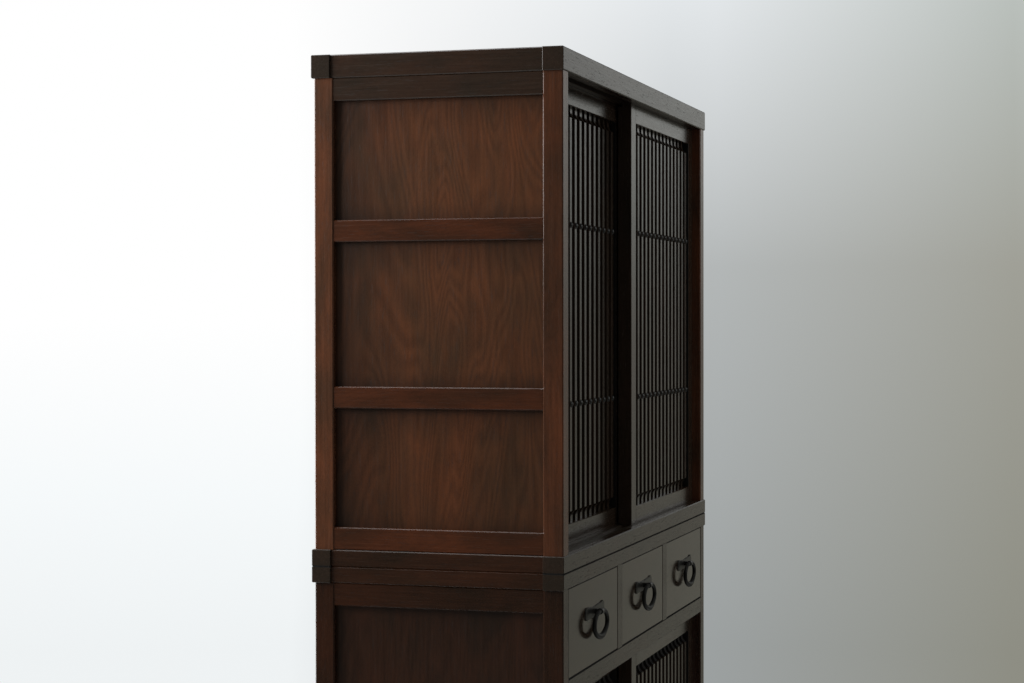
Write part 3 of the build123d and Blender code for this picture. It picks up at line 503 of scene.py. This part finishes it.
def pale_floor():
    """A flat disc of rings, each point at a ring's radius and an even turn, that fades out to its rim."""
    turn = np.arange(FLOOR_SIDES) * 2 * np.pi / FLOOR_SIDES
    radii = np.array(FLOOR_RADII)[:, None]
    flat = np.zeros((len(FLOOR_RADII), FLOOR_SIDES))
    points = np.stack([radii * np.cos(turn), radii * np.sin(turn), flat], -1).reshape(-1, 3)
    faces = ring_faces(len(FLOOR_RADII), FLOOR_SIDES)[:, ::-1].tolist() + [list(range(FLOOR_SIDES))]

    material, tree, shader = new_material("pale_floor")
    shader.inputs["Base Color"].default_value = FLOOR_PAINT
    shader.inputs["Roughness"].default_value = FLOOR_ROUGHNESS
    distance = tree.nodes.new("ShaderNodeVectorMath")
    distance.operation = "LENGTH"
    tree.links.new(tree.nodes.new("ShaderNodeTexCoord").outputs["Object"], distance.inputs[0])
    fade = unit(tree, *FLOOR_FADE, distance.outputs["Value"])
    tree.links.new(math_node(tree, "SUBTRACT", 1.0, fade), shader.inputs["Alpha"])

    floor = add_mesh("floor", points, faces, material)


pale_floor()


# Air: what is seen behind the object, what its gloss mirrors, and the light that it stands in

BRIGHT_WALL = [(0.20, (0.86, 0.89, 0.90)), (0.34, (0.92, 0.95, 0.96)), (0.5, WHITE)]
NEAR_WALL = [(0.2, (0.33, 0.35, 0.35)), (0.55, (0.45, 0.47, 0.47)), (0.8, (0.77, 0.80, 0.82))]
FAR_WALL = [(0.2, (0.27, 0.27, 0.23)), (0.55, (0.35, 0.35, 0.31)), (0.9, (0.55, 0.60, 0.58))]
SIDE_WALL = [(0.0, (0.24, 0.238, 0.190)), (0.35, (0.25, 0.243, 0.205)), (0.50, (0.33, 0.318, 0.285)),
             (0.60, (0.56, 0.58, 0.54)), (0.68, (0.84, 0.86, 0.82)), (0.80, (1.0, 1.0, 0.98))]
# The rearward shares between which each wall takes over from the one before it
WALLS = ((-0.2, 0.056, FAR_WALL), (0.056, 0.189, NEAR_WALL), (0.21, 0.377, BRIGHT_WALL))
LEFT_WALL, PALE_WALL = (0.33, 0.33, 0.315), (0.74, 0.745, 0.74)
DIM_ABOVE, DIM_BELOW = (0.11, 0.11, 0.105), (0.10, 0.10, 0.09)
DIM_FRONT, DIM_LEFT = (0.09, 0.09, 0.08), (0.09, 0.09, 0.085)
GLOW = [(0.0, (0.16, 0.16, 0.16)), (0.5, (0.12, 0.12, 0.12)), (0.72, (0.44, 0.445, 0.45)),
        (1.0, (0.62, 0.625, 0.63))]
GLOW_ABOVE = (0.50, 0.50, 0.49)


def fill_air():
    """Walls brightest at the rear, plain and pale elsewhere, and soft light from the rear and above.

    Every look depends on the direction alone: on the rightward, rearward and upward shares of a
    step of one, with each wall held between two of those shares.
    """
    world = bpy.data.worlds.new("air")
    bpy.context.scene.world = world
    world.use_nodes = True
    tree = world.node_tree
    tree.nodes.clear()
    split = tree.nodes.new("ShaderNodeSeparateXYZ")
    tree.links.new(tree.nodes.new("ShaderNodeTexCoord").outputs["Generated"], split.inputs[0])
    rightward, rearward, upward = split.outputs

    height = unit(tree, -0.25, 0.25, upward)
    walls = ramp(tree, height, SIDE_WALL)
    for low, high, stops in WALLS:
        walls = mix_colors(tree, unit(tree, low, high, rearward), walls, ramp(tree, height, stops))
    walls = mix_colors(tree, unit(tree, 0.0, -0.3, rightward), walls, LEFT_WALL)

    far_right = unit(tree, 0.35, 0.7, rightward)
    above = math_node(tree, "MULTIPLY", unit(tree, 0.17, 0.24, upward), far_right)
    below = math_node(tree, "MULTIPLY", unit(tree, -0.17, -0.24, upward), far_right)
    mirrored = mix_colors(tree, above, walls, DIM_ABOVE)
    mirrored = mix_colors(tree, below, mirrored, DIM_BELOW)
    mirrored = mix_colors(tree, unit(tree, -0.19, -0.46, rearward), mirrored, DIM_FRONT)
    mirrored = mix_colors(tree, unit(tree, 0.05, -0.45, rightward), mirrored, DIM_LEFT)

    elsewhere = math_node(tree, "MAXIMUM", unit(tree, 0.04, -0.35, rearward),
                          unit(tree, 0.80, 0.2, rightward))
    shown = mix_colors(tree, elsewhere, walls, PALE_WALL)

    glow = ramp(tree, math_node(tree, "MULTIPLY_ADD", rearward, 0.5, 0.5), GLOW)
    glow = mix_colors(tree, unit(tree, 0.1, 0.9, upward), glow, GLOW_ABOVE)

    rays = tree.nodes.new("ShaderNodeLightPath").outputs
    seen = math_node(tree, "MAXIMUM", rays["Is Camera Ray"], rays["Is Transmission Ray"])
    light = mix_colors(tree, rays["Is Glossy Ray"], glow, mirrored)
    background = tree.nodes.new("ShaderNodeBackground")
    output = tree.nodes.new("ShaderNodeOutputWorld")
    tree.links.new(mix_colors(tree, seen, light, shown), background.inputs[0])
    tree.links.new(background.outputs[0], output.inputs[0])


fill_air()


# Lamps


def soft_lamp(name, place, target, width, height, watts):
    """A rectangular lamp that faces its target."""
    data = bpy.data.lights.new(name, "AREA")
    data.shape = "RECTANGLE"
    data.size, data.size_y, data.energy = width, height, watts
    lamp = bpy.data.objects.new(name, data)
    bpy.context.collection.objects.link(lamp)
    lamp.visible_camera = False
    lamp.location = place
    lamp.rotation_euler = (Vector(target) - Vector(place)).to_track_quat("-Z", "Y").to_euler()


soft_lamp("rear_left_lamp", (-1.16, 1.62, 2.0), (-0.5, 0, 1.35), width=1.1, height=1.1, watts=56)
soft_lamp("rear_lamp", (0.38, 3.0, 1.3), (-0.1, 0.2, 1.2), width=0.9, height=2.6, watts=42)
soft_lamp("top_lamp", (-0.3, 0.9, 3.7), (-0.3, 0.1, 1.7), width=1.1, height=1.1, watts=20)
soft_lamp("front_lamp", (0.9, -3.6, 2.6), (0, 0, 1.0), width=2.2, height=1.8, watts=24)


# Camera

CAMERA_PLACE = (-3.87638, -1.09860, 1.31689)
YAW, PITCH, ROLL = 0.287353, -0.009870, -0.001091  # radians: from X to Y, upward, right side raised
SENSOR, LENS = 36.0, 74.98  # millimetres


def set_camera():
    """A camera to the left and in front, looking along the chest at its left side and its front."""
    data = bpy.data.cameras.new("camera")
    data.sensor_width, data.lens = SENSOR, LENS
    camera = bpy.data.objects.new("camera", data)
    bpy.context.collection.objects.link(camera)
    bpy.context.scene.camera = camera
    ahead = np.array([np.cos(YAW) * np.cos(PITCH), np.sin(YAW) * np.cos(PITCH), np.sin(PITCH)])
    level = np.array([np.sin(YAW), -np.cos(YAW), 0.0])
    above = np.cross(level, ahead)
    right = np.cos(ROLL) * level + np.sin(ROLL) * above
    up = np.cos(ROLL) * above - np.sin(ROLL) * level
    placed = np.eye(4)
    placed[:3] = np.stack([right, up, -ahead, CAMERA_PLACE], -1)
    camera.matrix_world = Matrix(placed.tolist())


set_camera()
bpy.context.scene.view_settings.view_transform = "Standard"
